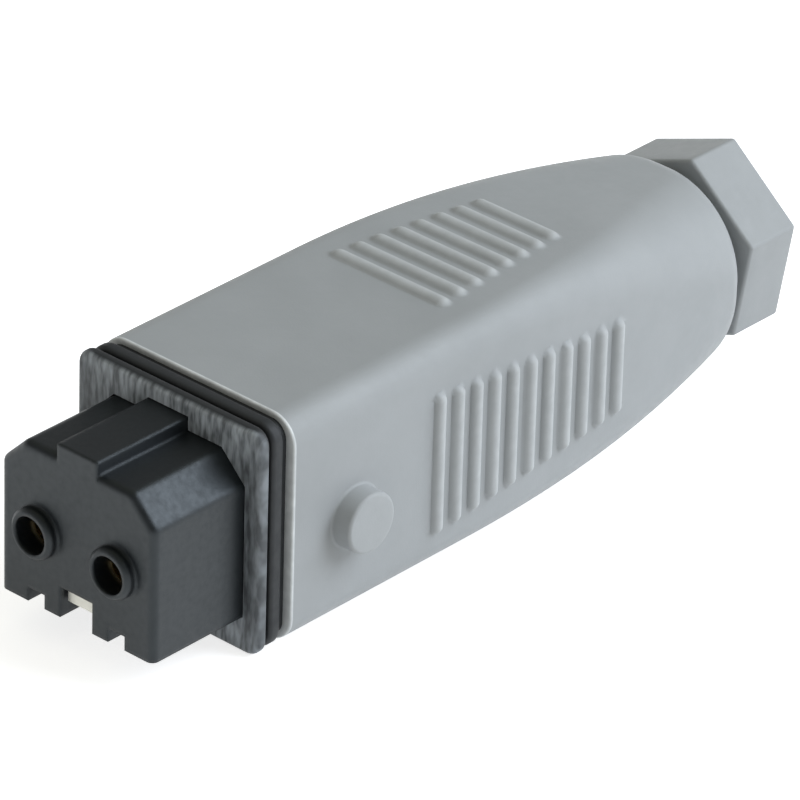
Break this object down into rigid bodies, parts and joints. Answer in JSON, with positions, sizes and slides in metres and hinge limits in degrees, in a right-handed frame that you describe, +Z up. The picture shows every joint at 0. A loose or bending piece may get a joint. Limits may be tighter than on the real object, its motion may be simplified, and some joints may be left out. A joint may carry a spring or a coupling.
{
  "type": "rectangular power connector",
  "caption": "Cable-end power socket: keyed dark insert with an earth slot, framed rubber seal, grey tapered housing with grip bars and locking lugs, and a hexagon cable gland.",
  "frame": {"origin": "on the cable's axis, in the plane of the insert's front face", "axes": "+X right seen from the mating face, +Y from the mating face to the cable, +Z up"},
  "size_m": [0.0344, 0.1084, 0.0291],
  "materials": {
    "housing_plastic": "fine satin moulding",
    "insert_plastic": "smooth satin moulding",
    "ring_plastic": "smooth",
    "seal_rubber": "matt",
    "contact_metal": "turned",
    "tinned_metal": "dull tin",
    "spring_steel": "bright",
    "screw_steel": "zinc plated"
  },
  "bodies": {
    "connector_body": {"housing": "housing_plastic", "contact_carrier": "insert_plastic", "profile_seal": "seal_rubber", "socket_left": "contact_metal", "socket_right": "contact_metal", "spring_ring_left": "spring_steel", "spring_ring_right": "spring_steel", "earth_contact": "tinned_metal", "contact_retainer": "insert_plastic", "gland_seal": "seal_rubber"},
    "gland_ring": {"thrust_ring": "ring_plastic"},
    "gland_nut": {"gland_screw": "housing_plastic"},
    "left_guard": {"wire_guard_left": "spring_steel"},
    "left_screw": {"terminal_screw_left": "screw_steel"},
    "right_guard": {"wire_guard_right": "spring_steel"},
    "right_screw": {"terminal_screw_right": "screw_steel"},
    "earth_guard": {"earth_wire_guard": "spring_steel"},
    "earth_clamp": {"earth_screw": "screw_steel"}
  },
  "joints": [
    {"name": "gland_travel", "type": "slide", "parent": "connector_body", "child": "gland_ring", "axis": [0, 1, 0], "range_m": [-0.0003, 0.00564]},
    {"name": "gland_turn", "type": "hinge", "parent": "gland_ring", "child": "gland_nut", "pos_m": [0, 0.1031, 0], "axis": [0, 1, 0], "range_deg": [-77, 1441]},
    {"name": "left_guard_travel", "type": "slide", "parent": "connector_body", "child": "left_guard", "axis": [0, 0, 1], "range_m": [-0.0006, 0.0006]},
    {"name": "left_screw_turn", "type": "hinge", "parent": "left_guard", "child": "left_screw", "pos_m": [-0.0059, 0.0315, 0.005], "axis": [0, 0, 1], "range_deg": [-361, 361]},
    {"name": "right_guard_travel", "type": "slide", "parent": "connector_body", "child": "right_guard", "axis": [0, 0, 1], "range_m": [-0.0006, 0.0006]},
    {"name": "right_screw_turn", "type": "hinge", "parent": "right_guard", "child": "right_screw", "pos_m": [0.0059, 0.0315, 0.005], "axis": [0, 0, 1], "range_deg": [-361, 361]},
    {"name": "earth_guard_travel", "type": "slide", "parent": "connector_body", "child": "earth_guard", "axis": [0, 0, 1], "range_m": [-0.0006, 0.0006]},
    {"name": "earth_screw_turn", "type": "hinge", "parent": "earth_guard", "child": "earth_clamp", "pos_m": [0, 0.0474, 0.0024], "axis": [0, 0, 1], "range_deg": [-361, 361]}
  ],
  "couplings": [
    {"joint": "gland_turn", "follows": "gland_travel", "rad_per_m": 4456.2},
    {"joint": "left_screw_turn", "follows": "left_guard_travel", "rad_per_m": 10472},
    {"joint": "right_screw_turn", "follows": "right_guard_travel", "rad_per_m": 10472},
    {"joint": "earth_screw_turn", "follows": "earth_guard_travel", "rad_per_m": 10472}
  ]
}
